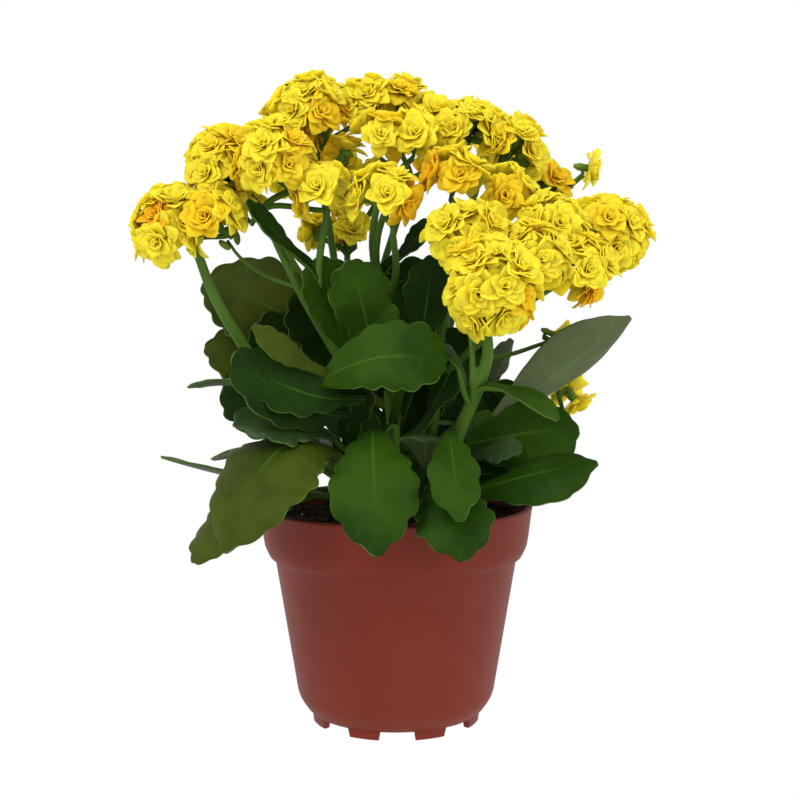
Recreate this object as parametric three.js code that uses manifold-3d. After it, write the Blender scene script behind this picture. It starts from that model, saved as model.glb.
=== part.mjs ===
// Potted kalanchoe: a plastic nursery pot with potting soil and a plant of several
// stems, whose leaves and flower heads are each one solid.
// Millimetres, +Z up. The origin is on the pot's underside, in its middle.
import * as THREE from "three";
import { mergeVertices } from "three/addons/utils/BufferGeometryUtils.js";
import Module from "manifold-3d";

const wasm = await Module();
wasm.setup();

// Pot
const rimRadius = 60;
const potHeight = 95.5;
const rimWidth = 2.6;
const wall = 1.6;
const collarDrop = 23.5; // from the rim down to the body
const collarFlare = 2; // how much wider the collar is at its top
const bodyTopRadius = 53;
const bodyBottomRadius = 43.5;
const cornerHeight = 13.4; // where the rounded lower edge ends
const footRadius = 37;
const footHeight = 3.8;
const floorRadius = 35.4; // inside the pot
const cornerRise = 9; // from the floor to the straight wall, inside
const footWall = 3;
const footCount = 8;
const footTurn = 1; // degrees, from a notch straight ahead
const notchShare = 0.52; // of the foot ring that the notches take away
const bossRadius = 20;
const drainRadius = 4;
const drainCircle = 30;
const potSegments = 36;

// Soil
const soilLevel = 88.5;
const soilCrown = 1.5; // how much higher the soil is in its middle
const gap = 0.35; // between pieces that touch

// Leaves
const leafThickness = 1.4;
const petioleThickness = 3;
const petioleHalfWidth = 2.4;
const leafRows = 7;
const leafColumns = 4;

// Flower heads
const floretRadius = 9; // of a dome's bump, where a floret opens
const floretRise = 4;
const floretSpacing = 0.055; // florets per square of a dome's radius
const domeSpread = 1.75; // radians, from the axis to the last florets
const coreShare = 0.85; // how much of a dome's radius is filled between florets
const fineDome = 9; // a wider dome than this has more faces
const branchRadius = 2;
const goldenAngle = Math.PI * (3 - Math.sqrt(5));

const colours = {
  pot: 0x8a3a28,
  soil: 0x241a13,
  stem: 0x567a1c,
  leaf: 0x2c5212,
  flower: 0xf2d21c,
};

function material(colour, roughness) {
  return new THREE.MeshStandardMaterial({ color: colour, roughness, metalness: 0 });
}

// A three.js geometry as a manifold-3d solid, and back.
function solid(geometry) {
  const bare = geometry.clone();
  bare.deleteAttribute("normal");
  bare.deleteAttribute("uv");
  const merged = mergeVertices(bare, 1e-4);
  return new wasm.Manifold(
    new wasm.Mesh({
      numProp: 3,
      vertProperties: merged.attributes.position.array,
      triVerts: new Uint32Array(merged.index.array),
    }),
  );
}

function geometryOf(body) {
  const mesh = body.getMesh();
  const geometry = new THREE.BufferGeometry();
  geometry.setAttribute("position", new THREE.BufferAttribute(mesh.vertProperties, 3));
  geometry.setIndex(new THREE.BufferAttribute(mesh.triVerts, 1));
  geometry.computeVertexNormals();
  return geometry;
}

const plant = new THREE.Group();

function addPiece(name, geometry, finish) {
  const mesh = new THREE.Mesh(geometry, finish);
  mesh.name = name;
  plant.add(mesh);
}

// A closed lathe about +Z. The profile is a list of [radius, height].
function turned(profile, segments) {
  const points = profile.map(([r, z]) => new THREE.Vector2(r, z));
  return new THREE.LatheGeometry(points, segments).rotateX(Math.PI / 2);
}

// ---- pot: a collar above a tapering body, on a notched foot ring
function innerRadius(z) {
  const collarFoot = potHeight - collarDrop;
  if (z > collarFoot + 6) return rimRadius - rimWidth - 0.06 * (potHeight - z);
  const share = (z - cornerHeight) / (collarFoot - cornerHeight);
  return bodyBottomRadius - wall + share * (bodyTopRadius - bodyBottomRadius);
}

function potGeometry() {
  const collarFoot = potHeight - collarDrop;
  const floorTop = footHeight + wall;
  const profile = [
    [0, 0],
    [bossRadius, 0],
    [bossRadius + 1, footHeight],
    [footRadius - footWall, footHeight],
    [footRadius - footWall, 0],
    [footRadius, 0],
    [footRadius + 0.4, footHeight],
    [footRadius + 2.4, footHeight + 1.8],
    [bodyBottomRadius - 2.2, footHeight + 4.5],
    [bodyBottomRadius, cornerHeight],
    [bodyTopRadius, collarFoot],
    [bodyTopRadius + 2.6, collarFoot + 1.6],
    [rimRadius - collarFlare - 0.8, collarFoot + 5],
    [rimRadius - collarFlare + 0.2, collarFoot + 9],
    [rimRadius, potHeight - 0.8],
    [rimRadius - 0.8, potHeight],
    [rimRadius - rimWidth, potHeight],
    [innerRadius(collarFoot + 7), collarFoot + 7],
    [innerRadius(collarFoot + 1), collarFoot + 1],
    [innerRadius(floorTop + cornerRise), floorTop + cornerRise],
    [floorRadius, floorTop],
    [0, floorTop],
  ];
  let body = solid(turned(profile, potSegments));
  const step = (2 * Math.PI) / footCount;
  for (let i = 0; i < footCount; i += 1) {
    const angle = i * step - Math.PI / 2 + THREE.MathUtils.degToRad(footTurn);
    const notchWidth = footRadius * step * notchShare;
    const notch = new THREE.BoxGeometry(footWall * 3, notchWidth, footHeight * 2);
    notch.translate(footRadius, 0, -0.2);
    notch.rotateZ(angle);
    const drain = new THREE.CylinderGeometry(drainRadius, drainRadius, 12, 8);
    drain.rotateX(Math.PI / 2);
    drain.translate(drainCircle, 0, footHeight);
    drain.rotateZ(angle);
    body = body.subtract(solid(notch)).subtract(solid(drain));
  }
  return geometryOf(body);
}

function soilGeometry() {
  const bottom = footHeight + wall + gap;
  const levels = [bottom + cornerRise, potHeight - collarDrop + 1, potHeight - collarDrop + 7];
  const sides = levels.map((z) => [innerRadius(z) - gap - 0.3, z]);
  const top = innerRadius(soilLevel) - gap - 0.3;
  const profile = [
    [0, bottom],
    [floorRadius - 2 * gap, bottom],
    ...sides,
    [top, soilLevel - 1],
    [top - 3, soilLevel],
    [0, soilLevel + soilCrown],
  ];
  return turned(profile, 32);
}

// ---- stems: each is one grown piece with its flower stalks, joined from round tubes.
// A path is a list of points, and its radius in mm.
function tube(points, radius, sides = 6) {
  const path = new THREE.CatmullRomCurve3(points.map((p) => new THREE.Vector3(...p)));
  const outline = [];
  for (let i = 0; i < sides; i += 1) {
    const angle = (2 * Math.PI * i) / sides;
    outline.push(new THREE.Vector2(radius * Math.cos(angle), radius * Math.sin(angle)));
  }
  const steps = Math.round(path.getLength() / 14) + 1;
  const options = { steps, extrudePath: path, bevelEnabled: false };
  return new THREE.ExtrudeGeometry(new THREE.Shape(outline), options);
}

const stems = [
  {
    name: "stem_far_left",
    tubes: [
      [2.9, [-14, -4, 91.3], [-16, -4, 97], [-34, -4, 120], [-52, -10, 146], [-64, -22, 166]],
      [2.5, [-63, -21, 164], [-75, -28, 186], [-82, -30, 205]],
    ],
  },
  {
    name: "stem_left",
    tubes: [
      [3.2, [-8, -14, 91.3], [-14, -14, 128], [-26, -14, 166]],
      [2, [-25, -14, 161], [-40, -20, 188], [-54, -27, 219]],
      [1.9, [-25, -14, 161], [-32, -24, 194], [-28, -30, 223]],
      [1.9, [-20, -14, 148], [-26, -4, 198], [-34, 0, 245]],
    ],
  },
  {
    name: "stem_centre",
    tubes: [
      [3.2, [2, 2, 91.3], [-2, 0, 138], [-6, -4, 188]],
      [1.9, [-6, -4, 183], [-10, 0, 212], [-2, 12, 247]],
      [1.8, [-6, -4, 183], [-8, -10, 210], [1, -12, 235]],
      [1.8, [-5, -3, 179], [0, -20, 196], [-1, -34, 212]],
    ],
  },
  {
    name: "stem_right",
    tubes: [
      [3.4, [14, -14, 91.3], [15, -16, 97], [20, -26, 109], [25, -34, 127], [34, -45, 151]],
      [2.7, [33, -44, 149], [37, -50, 164], [36, -52, 176]],
      [1.5, [31, -42, 144], [31, -48, 164], [28, -44, 195]],
    ],
  },
  {
    name: "stem_back_right",
    tubes: [
      [3.3, [12, 14, 91.3], [17, 11, 138], [22, 6, 184]],
      [2.1, [21, 7, 179], [28, 4, 210], [35, 3, 233]],
      [1.7, [22, 6, 181], [24, -14, 204], [25, -28, 219]],
      [2.1, [18, 10, 148], [42, -8, 172], [60, -27, 189]],
      [2.1, [18, 10, 148], [50, 4, 178], [78, -7, 197]],
      [1.3, [30, 7, 157], [50, 12, 160], [66, 15, 165]],
      [2, [19, 11, 153], [44, 30, 196], [61, 33, 217]],
      [1.8, [20, 11, 150], [52, 28, 178], [78, 38, 199]],
      [1.8, [17, 12, 140], [30, 40, 190], [46, 58, 230]],
      [1.4, [14, 13, 110], [48, 32, 114], [74, 33, 127]],
    ],
  },
  {
    name: "stem_back_left",
    tubes: [
      [3.3, [-10, 14, 91.3], [-16, 22, 138], [-22, 34, 178]],
      [1.6, [-21, 32, 173], [-24, 28, 188], [-22, 25, 201]],
      [1.9, [-19, 28, 160], [-42, 42, 192], [-62, 50, 223]],
      [2, [-17, 24, 146], [-8, 48, 192], [6, 64, 237]],
    ],
  },
];

function stemGeometry(tubes) {
  const parts = tubes.map(([radius, ...points]) => solid(tube(points, radius)));
  return geometryOf(parts.reduce((joined, part) => joined.add(part)));
}

// ---- leaves: a centreline that bends from base to tip, a width, and the way the upper
// side faces. Cup lifts the edges (or drops them, below 0), as a share of the half width.
const leaves = [
  { name: "leaf_front", base: [-9, -28, 129], bend: [-10, -67, 143], tip: [-7, -82, 88],
    face: [0, -0.8, 0.6], width: 37, cup: -0.15 },
  { name: "leaf_front_small", base: [22, -43, 131], bend: [21, -66, 137], tip: [25, -80, 101],
    face: [0, -0.8, 0.6], width: 22, cup: -0.1 },
  { name: "leaf_front_low", base: [14, -27, 106], bend: [20, -64, 121], tip: [27, -77, 85],
    face: [0, -0.8, 0.6], width: 33, cup: -0.15 },
  { name: "leaf_right_low", base: [26, -24, 101], bend: [50, -54, 116], tip: [82, -50, 120],
    face: [0.1, -0.65, 0.75], width: 29, cup: -0.3 },
  { name: "leaf_right", base: [26, -13, 121], bend: [51, -24, 130], tip: [78, -19, 130],
    face: [0.1, -0.8, 0.6], width: 41, cup: -0.2 },
  { name: "leaf_right_shiny", base: [29, -20, 116], bend: [42, -30, 128], tip: [52, -35, 122],
    face: [0, -0.6, 0.8], width: 17, cup: -0.2 },
  { name: "leaf_right_high", base: [34, 6, 125], bend: [66, 6, 149], tip: [103, 4, 177],
    face: [-0.4, 0.8, 0.5], width: 31, cup: 0.3 },
  { name: "bract_right", base: [38, -50, 151], bend: [51, -63, 151], tip: [64, -66, 139],
    face: [0.2, -0.5, 0.85], width: 13, cup: 0.2 },
  { name: "leaf_left_arching", base: [-20, -23, 114], bend: [-46, -54, 152], tip: [-67, -76, 88],
    face: [-0.3, -0.6, 0.7], width: 48, cup: -0.2 },
  { name: "leaf_left_low", base: [-26, -16, 100], bend: [-60, -46, 116], tip: [-80, -66, 82],
    face: [-0.4, -0.5, 0.75], width: 34, cup: -0.2 },
  { name: "leaf_left_thin", base: [-28, 10, 99], bend: [-66, -4, 105], tip: [-99, -24, 119],
    face: [0, 0.05, 1], width: 26, cup: 0.1 },
  { name: "leaf_left_flat", base: [-24, -14, 138], bend: [-54, -26, 155], tip: [-85, -41, 150],
    face: [0, 0.25, 1], width: 24, cup: 0.1 },
  { name: "leaf_left_middle", base: [-24, -26, 125], bend: [-41, -42, 145], tip: [-65, -52, 135],
    face: [-0.2, -0.5, 0.8], width: 36, cup: -0.2 },
  { name: "leaf_centre_left", base: [-24, -38, 138], bend: [-44, -55, 140], tip: [-63, -60, 166],
    face: [0, -0.9, 0.4], width: 27, cup: 0.1 },
  { name: "leaf_centre_right", base: [-30, -46, 152], bend: [-7, -62, 170], tip: [20, -58, 160],
    face: [0, -0.85, 0.5], width: 33, cup: 0.1 },
  { name: "leaf_top_middle", base: [-9, -18, 160], bend: [-14, -31, 183], tip: [-18, -29, 202],
    face: [0, -0.9, 0.4], width: 23, cup: 0.1 },
  { name: "leaf_back_left_high", base: [-22, 12, 150], bend: [-50, 27, 186], tip: [-89, 33, 190],
    face: [-0.2, -0.75, 0.65], width: 46, cup: 0.1 },
  { name: "leaf_back_left", base: [-22, 8, 138], bend: [-55, 20, 162], tip: [-87, 26, 162],
    face: [-0.2, -0.75, 0.65], width: 36, cup: 0.1 },
  { name: "bract_left", base: [-38, -27, 202], bend: [-50, -38, 212], tip: [-60, -42, 226],
    face: [0.4, -0.7, 0.5], width: 11, cup: 0.2 },
  { name: "bract_centre", base: [-1, -6, 202], bend: [8, -8, 208], tip: [16, -12, 220],
    face: [-0.4, -0.7, 0.5], width: 12, cup: 0.2 },
  { name: "leaf_top_right", base: [8, -6, 158], bend: [14, -22, 182], tip: [15, -24, 204],
    face: [0, -0.95, 0.3], width: 22, cup: 0.1 },
  { name: "leaf_inner", base: [-2, -16, 104], bend: [-14, -23, 124], tip: [-20, -21, 146],
    face: [0.2, -0.9, 0.3], width: 18, cup: 0.1 },
  { name: "leaf_front_folded", base: [12, -19, 112], bend: [12, -46, 137], tip: [11, -48, 128],
    face: [0, -0.6, 0.8], width: 20, cup: -0.2 },
  { name: "leaf_right_behind", base: [38, 20, 136], bend: [45, 26, 150], tip: [53, 28, 166],
    face: [-0.2, 0.5, 0.8], width: 22, cup: 0.2 },
  { name: "bract_right_inner", base: [27, -46, 154], bend: [24, -48, 172], tip: [6, -46, 164],
    face: [0.2, -0.4, 0.9], width: 16, cup: -0.1 },
  { name: "leaf_rear_left_low", base: [-16, 24, 106], bend: [-44, 56, 134], tip: [-58, 74, 94],
    face: [-0.4, 0.6, 0.7], width: 42, cup: -0.2 },
  { name: "leaf_rear_low", base: [2, 24, 108], bend: [6, 62, 140], tip: [8, 84, 96],
    face: [0, 0.7, 0.7], width: 44, cup: -0.2 },
  { name: "leaf_rear_right_low", base: [16, 24, 100], bend: [42, 54, 128], tip: [62, 72, 98],
    face: [0.5, 0.5, 0.7], width: 38, cup: -0.2 },
  { name: "leaf_rear_high", base: [-2, 20, 136], bend: [0, 48, 170], tip: [-6, 76, 164],
    face: [0, 0.3, 0.9], width: 38, cup: 0.1 },
  { name: "leaf_rear_right", base: [22, 27, 124], bend: [48, 47, 148], tip: [70, 60, 140],
    face: [0.3, 0.4, 0.85], width: 36, cup: 0.1 },
  { name: "leaf_rear_left", base: [-22, 24, 124], bend: [-42, 50, 150], tip: [-60, 64, 140],
    face: [-0.3, 0.5, 0.8], width: 36, cup: 0.1 },
  { name: "leaf_rear_folded", base: [9, 24, 118], bend: [20, 58, 146], tip: [26, 80, 122],
    face: [0.1, 0.6, 0.8], width: 34, cup: -0.1 },
  { name: "leaf_side_low", base: [24, 6, 100], bend: [58, 14, 114], tip: [84, 20, 102],
    face: [0.2, 0, 1], width: 34, cup: -0.1 },
];

// The half width along a leaf: a narrow stalk, widest past the middle, a blunt tip.
const widestPlace = 1.65; // a higher number puts the widest part nearer the tip
const tipBluntness = 0.62; // a lower number makes the ends blunter
const lastWidth = 0.97; // where the tip is cut off
function leafHalfWidth(s, width) {
  const blade = Math.sin(Math.PI * Math.min(s, lastWidth) ** widestPlace) ** tipBluntness;
  return Math.max(petioleHalfWidth, 0.5 * width * blade);
}

function leafGeometry({ base, bend, tip, face, width, cup }) {
  const [start, middle, end] = [base, bend, tip].map((p) => new THREE.Vector3(...p));
  const line = new THREE.QuadraticBezierCurve3(start, middle, end);
  const across = new THREE.Vector3(...face).cross(line.getTangent(0.5)).normalize();
  const geometry = new THREE.BoxGeometry(1, 1, 1, leafRows, leafColumns, 1);
  const position = geometry.attributes.position;
  for (let i = 0; i < position.count; i += 1) {
    const s = position.getX(i) + 0.5;
    const v = 2 * position.getY(i);
    const half = leafHalfWidth(s, width);
    const tangent = line.getTangent(s);
    const side = across.clone().addScaledVector(tangent, -across.dot(tangent)).normalize();
    const normal = tangent.clone().cross(side);
    const fade = THREE.MathUtils.smoothstep(s, 0, 0.3);
    const thickness = THREE.MathUtils.lerp(petioleThickness, leafThickness, fade);
    const lift = cup * half * v * v * fade + position.getZ(i) * thickness;
    const point = line.getPoint(s).addScaledVector(side, v * half);
    point.addScaledVector(normal, lift);
    position.setXYZ(i, point.x, point.y, point.z);
  }
  return geometry;
}

// ---- flower heads: domes of florets, whose stalks meet at a root. Each dome is a centre
// and a radius, and looks away from the hub. More florets fit on a wider dome.
const heads = [
  { name: "flowers_far_left", root: [-84, -31, 208], domes: [[-92, -29, 216, 12], [-75, -37, 218, 9]] },
  { name: "flowers_left", root: [-55, -28, 222],
    domes: [[-70, -21, 240, 13], [-49, -33, 241, 13], [-31, -33, 230, 8]] },
  { name: "flowers_top_left", root: [-34, 0, 248], domes: [[-37, -3, 264, 12]] },
  { name: "flowers_top", root: [-2, 13, 250],
    domes: [[-12, 12, 269, 8], [1, 21, 269, 9], [16, 16, 262, 8]] },
  { name: "flowers_middle", root: [1, -12, 238], domes: [[-7, -17, 252, 7], [8, -14, 253, 7]] },
  { name: "flowers_middle_low", root: [-1, -35, 215], domes: [[-4, -41, 227, 9]] },
  { name: "flowers_behind_left", root: [-22, 25, 204], domes: [[-20, 24, 214, 5], [-22, 29, 229, 5]] },
  { name: "flowers_top_right", root: [36, 3, 236], domes: [[30, 0, 256, 11], [49, 6, 249, 11]] },
  { name: "flowers_right_middle", root: [25, -29, 222], domes: [[25, -34, 235, 8]] },
  { name: "flowers_right_front", root: [35, -52, 180],
    domes: [[29, -50, 208, 12], [37, -64, 192, 15]] },
  { name: "flowers_right", root: [62, -30, 192], domes: [[62, -35, 215, 11], [72, -43, 198, 11]] },
  { name: "flowers_far_right", root: [80, -8, 200], domes: [[90, -12, 213, 13]] },
  { name: "flowers_back_right", root: [62, 34, 220], domes: [[67, 37, 232, 9], [87, 30, 243, 1]] },
  { name: "flowers_right_low", root: [76, 33, 129], domes: [[80, 34, 141, 4]] },
  { name: "flowers_right_small", root: [68, 15, 166], domes: [[70, 15, 169, 2]] },
  { name: "flowers_back_left", root: [-62, 50, 226], domes: [[-73, 41, 241, 10], [-51, 59, 245, 10]] },
  { name: "flowers_back", root: [7, 65, 240], domes: [[2, 63, 263, 11], [21, 74, 253, 10]] },
  { name: "flowers_back_far_right", root: [47, 60, 233], domes: [[49, 61, 251, 10]] },
  { name: "flowers_side_right", root: [80, 39, 202], domes: [[88, 45, 210, 10]] },
];
const up = new THREE.Vector3(0, 0, 1);
const hub = new THREE.Vector3(0, 0, 150);

// The ways that a dome's florets face, spread evenly by the golden angle.
function floretWays(axis, radius) {
  const count = Math.round(floretSpacing * radius * radius) + 1;
  const turn = new THREE.Quaternion().setFromUnitVectors(up, axis);
  const ways = [];
  for (let i = 0; i < count; i += 1) {
    const height = 1 - ((i + 0.5) / count) * (1 - Math.cos(domeSpread));
    const reach = Math.sqrt(1 - height * height);
    const angle = i * goldenAngle;
    const way = new THREE.Vector3(reach * Math.cos(angle), reach * Math.sin(angle), height);
    ways.push(way.applyQuaternion(turn));
  }
  return ways;
}

// A dome is a ball with a bump for each floret, which thins towards its stalk.
function domeGeometry([x, y, z, radius]) {
  const centre = new THREE.Vector3(x, y, z);
  const axis = centre.clone().sub(hub).normalize();
  const ways = floretWays(axis, radius);
  const geometry = new THREE.IcosahedronGeometry(1, radius > fineDome ? 2 : 1);
  const position = geometry.attributes.position;
  const nearness = floretRadius / (radius + floretRise);
  for (let i = 0; i < position.count; i += 1) {
    const way = new THREE.Vector3().fromBufferAttribute(position, i).normalize();
    const nearest = Math.min(...ways.map((other) => way.angleTo(other)));
    const bump = Math.max(0, 1 - (nearest / nearness) ** 2);
    const reach = coreShare * radius + 1 + bump * (floretRise + (1 - coreShare) * radius - 1);
    way.multiplyScalar(reach).add(centre);
    position.setXYZ(i, way.x, way.y, way.z);
  }
  return geometry;
}

function headGeometry({ root, domes }) {
  const parts = domes.flatMap((dome) => [
    solid(domeGeometry(dome)),
    solid(tube([root, dome.slice(0, 3)], branchRadius, 5)),
  ]);
  return geometryOf(parts.reduce((joined, part) => joined.add(part)));
}

addPiece("pot", potGeometry(), material(colours.pot, 0.55));
addPiece("soil", soilGeometry(), material(colours.soil, 0.95));
for (const { name, tubes } of stems) {
  addPiece(name, stemGeometry(tubes), material(colours.stem, 0.5));
}
for (const leaf of leaves) {
  addPiece(leaf.name, leafGeometry(leaf), material(colours.leaf, 0.4));
}
for (const head of heads) {
  addPiece(head.name, headGeometry(head), material(colours.flower, 0.6));
}

export default plant;
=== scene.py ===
import math
import random

import bpy
from mathutils import Matrix, Vector


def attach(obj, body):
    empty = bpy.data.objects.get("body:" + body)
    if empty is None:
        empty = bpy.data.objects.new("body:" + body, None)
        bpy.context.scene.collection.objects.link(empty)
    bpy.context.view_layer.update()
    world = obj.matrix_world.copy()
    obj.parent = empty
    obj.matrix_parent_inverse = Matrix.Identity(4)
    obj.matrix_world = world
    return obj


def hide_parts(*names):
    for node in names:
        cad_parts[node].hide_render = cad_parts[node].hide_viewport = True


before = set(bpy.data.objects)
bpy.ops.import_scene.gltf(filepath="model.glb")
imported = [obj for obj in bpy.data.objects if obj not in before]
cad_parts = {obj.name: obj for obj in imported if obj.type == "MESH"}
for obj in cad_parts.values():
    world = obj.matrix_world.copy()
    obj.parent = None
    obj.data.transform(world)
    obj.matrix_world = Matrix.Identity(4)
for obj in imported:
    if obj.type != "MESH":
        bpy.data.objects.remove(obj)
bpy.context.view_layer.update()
mm = 0.001
goldenAngle = math.pi * (3 - math.sqrt(5))
print("frame loaded:", len(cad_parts), "nodes")

# camera level with the lower flowers, looking a little down
cameraPlan = {"place": (1.8, -640, 200.3), "downDegrees": 5.3, "lens": 66.1}
cameraData = bpy.data.cameras.new("camera")
cameraData.lens = cameraPlan["lens"]
cameraObject = bpy.data.objects.new("camera", cameraData)
bpy.context.scene.collection.objects.link(cameraObject)
cameraObject.location = Vector(cameraPlan["place"]) * mm
cameraObject.rotation_euler = (math.radians(90 - cameraPlan["downDegrees"]), 0, 0)
bpy.context.scene.camera = cameraObject


# small helpers for picking, finishing and placing pieces
def only(*pieces):
    bpy.ops.object.select_all(action="DESELECT")
    for piece in pieces:
        piece.select_set(True)
    bpy.context.view_layer.objects.active = pieces[0]


def named(piece, name):
    piece.name = name
    piece.data.name = name
    return piece


def applied(piece, kind, **settings):
    only(piece)
    modifier = piece.modifiers.new(kind.lower(), kind)
    for key, value in settings.items():
        setattr(modifier, key, value)
    bpy.ops.object.modifier_apply(modifier=modifier.name)
    return piece


def copied(model, matrix):
    copy = model.copy()
    copy.data = model.data.copy()
    copy.data.transform(matrix)
    bpy.context.scene.collection.objects.link(copy)
    return copy


def joined(pieces, name):
    only(*pieces)
    if len(pieces) > 1:
        bpy.ops.object.join()
    return named(bpy.context.object, name)


def merged(piece, distance):
    only(piece)
    bpy.ops.object.mode_set(mode="EDIT")
    bpy.ops.mesh.select_all(action="SELECT")
    bpy.ops.mesh.remove_doubles(threshold=distance)
    bpy.ops.mesh.normals_make_consistent(inside=False)
    bpy.ops.object.mode_set(mode="OBJECT")
    return piece


def smooth(piece, degrees=60):
    only(piece)
    bpy.ops.object.shade_smooth_by_angle(angle=math.radians(degrees))
    return piece


def turned(profile):
    # takes the rim of the disc being worked on through the radii and levels of a profile, and closes it
    bpy.ops.object.mode_set(mode="EDIT")
    bpy.ops.mesh.select_mode(type="EDGE")
    bpy.ops.mesh.select_all(action="SELECT")
    bpy.ops.mesh.region_to_loop()
    for (radius, level), (nextRadius, nextLevel) in zip(profile, profile[1:]):
        bpy.ops.mesh.extrude_edges_move(TRANSFORM_OT_translate={"value": (0, 0, (nextLevel - level) * mm)})
        share = nextRadius / radius
        bpy.ops.transform.resize(value=(share, share, 1), center_override=(0, 0, 0))
    bpy.ops.mesh.edge_face_add()
    bpy.ops.mesh.select_all(action="SELECT")
    bpy.ops.mesh.normals_make_consistent(inside=False)
    bpy.ops.object.mode_set(mode="OBJECT")


def dressed(piece, *materials):
    piece.data.materials.clear()
    for material in materials:
        piece.data.materials.append(material)
    return piece


def marked(piece, marks):
    # writes each vertex's mark, how far along and how far across it lies, into the UV map
    uv = piece.data.uv_layers["UVMap"].data
    for loop in piece.data.loops:
        uv[loop.index].uv = marks[loop.vertex_index]


def bezier(start, bend, end, t):
    return start * (1 - t) ** 2 + bend * (2 * t * (1 - t)) + end * t * t


def either(draw, most):
    return draw.uniform(-most, most)


def fade(low, high, value):
    t = min(1, max(0, (value - low) / (high - low)))
    return t * t * (3 - 2 * t)


# shader maths: a Value wraps a socket, and an expression on Values adds its nodes
class Value:
    def __init__(self, finish, socket):
        self.finish = finish
        self.socket = socket

    def __add__(self, other):
        return self.finish.math("ADD", self, other)

    def __sub__(self, other):
        return self.finish.math("SUBTRACT", self, other)

    def __rsub__(self, other):
        return self.finish.math("SUBTRACT", other, self)

    def __mul__(self, other):
        return self.finish.math("MULTIPLY", self, other)

    def __abs__(self):
        return self.finish.math("ABSOLUTE", self)

    __radd__ = __add__
    __rmul__ = __mul__


class Finish:
    def __init__(self, name, **uniform):
        self.material = bpy.data.materials.new(name)
        self.material.use_nodes = True
        self.nodes = self.material.node_tree.nodes
        self.links = self.material.node_tree.links
        self.shader = self.nodes["Principled BSDF"]
        for socket, value in uniform.items():
            self.shader.inputs[socket.replace("_", " ")].default_value = value

    def feed(self, socket, value):
        if isinstance(value, Value):
            self.links.new(value.socket, socket)
        else:
            socket.default_value = value

    def node(self, kind, settings=None, inputs=None, output=0):
        made = self.nodes.new("ShaderNode" + kind)
        for key, value in (settings or {}).items():
            setattr(made, key, value)
        for key, value in (inputs or {}).items():
            self.feed(made.inputs[key], value)
        return Value(self, made.outputs[output])

    def math(self, operation, *values):
        return self.node("Math", {"operation": operation}, dict(enumerate(values)))

    def blend(self, factor, first, second):
        colours = [c if isinstance(c, Value) else (*c, 1) for c in (first, second)]
        return self.node("Mix", {"data_type": "RGBA"}, {0: factor, 6: colours[0], 7: colours[1]}, 2)

    def rise(self, value, low, high):
        settings = {"interpolation_type": "SMOOTHSTEP"}
        return self.node("MapRange", settings, {"Value": value, "From Min": low, "From Max": high})

    def noise(self, where, scale, detail=3, roughness=0.55, stretch=(1, 1, 1)):
        place = self.node("Mapping", None, {"Vector": where, "Scale": stretch})
        inputs = {"Vector": place, "Scale": scale, "Detail": detail, "Roughness": roughness}
        return self.node("TexNoise", None, inputs)

    def place(self):
        return self.node("TexCoord", None, None, "Object")

    def along(self):
        # how far along a leaf or petal, and how far across it
        marks = self.node("UVMap", {"uv_map": "UVMap"})
        split = self.node("SeparateXYZ", None, {0: marks}).socket.node
        return [Value(self, split.outputs[side]) for side in (0, 1)]

    def surface(self, colour=None, roughness=None, height=None, depth=0.1 * mm, strength=0.5):
        if colour is not None:
            self.feed(self.shader.inputs["Base Color"], colour)
        if roughness is not None:
            self.feed(self.shader.inputs["Roughness"], roughness)
        if height is not None:
            inputs = {"Height": height, "Distance": depth, "Strength": strength}
            self.feed(self.shader.inputs["Normal"], self.node("Bump", None, inputs))
        return self.material


# ---- leaf finishes: the upper side, the paler underside and the light rim
leafLooks = {
    "deep": {"dark": (0.01, 0.034, 0.0015), "light": (0.023, 0.064, 0.002), "under": (0.045, 0.085, 0.015)},
    "bright": {"dark": (0.011, 0.036, 0.001), "light": (0.026, 0.068, 0.002), "under": (0.05, 0.09, 0.015)},
    "olive": {"dark": (0.026, 0.044, 0.003), "light": (0.052, 0.074, 0.005), "under": (0.06, 0.085, 0.02)},
    # painted shade: the dark look is a darker copy of the leaf green, given to leaves deep inside the plant
    # and under the flower heads in place of the shade there
    "dark": {"dark": (0.005, 0.019, 0.001), "light": (0.011, 0.036, 0.002), "under": (0.03, 0.055, 0.01)},
    "grey": {"dark": (0.012, 0.036, 0.004), "light": (0.025, 0.066, 0.008), "under": (0.075, 0.115, 0.04),
             "shine": 0.3},
    "pale": {"dark": (0.014, 0.042, 0.006), "light": (0.026, 0.066, 0.01), "under": (0.11, 0.15, 0.06),
             "shine": 0.25},
}
rimColour = (0.07, 0.14, 0.012)
rimDark = (0.035, 0.09, 0.008)
veinColour = (0.05, 0.13, 0.01)
underVein = (0.12, 0.18, 0.05)
veinsPerLeaf = 7
veinSlant = 1.6


def leafVeins(finish, midribWidth, midribEnd, veinWidth, veinEnd):
    # how far out from the midrib, and masks of the midrib and of the slanting veins
    s, across = finish.along()
    v = abs(across * 2 - 1)
    midrib = (1 - finish.rise(v, *midribWidth)) * (1 - finish.rise(s, *midribEnd))
    slant = finish.math("FRACT", s * veinsPerLeaf - v * veinSlant)
    vein = (1 - finish.rise(abs(slant - 0.5), *veinWidth)) * (1 - finish.rise(v, *veinEnd))
    return v, midrib, vein


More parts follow.
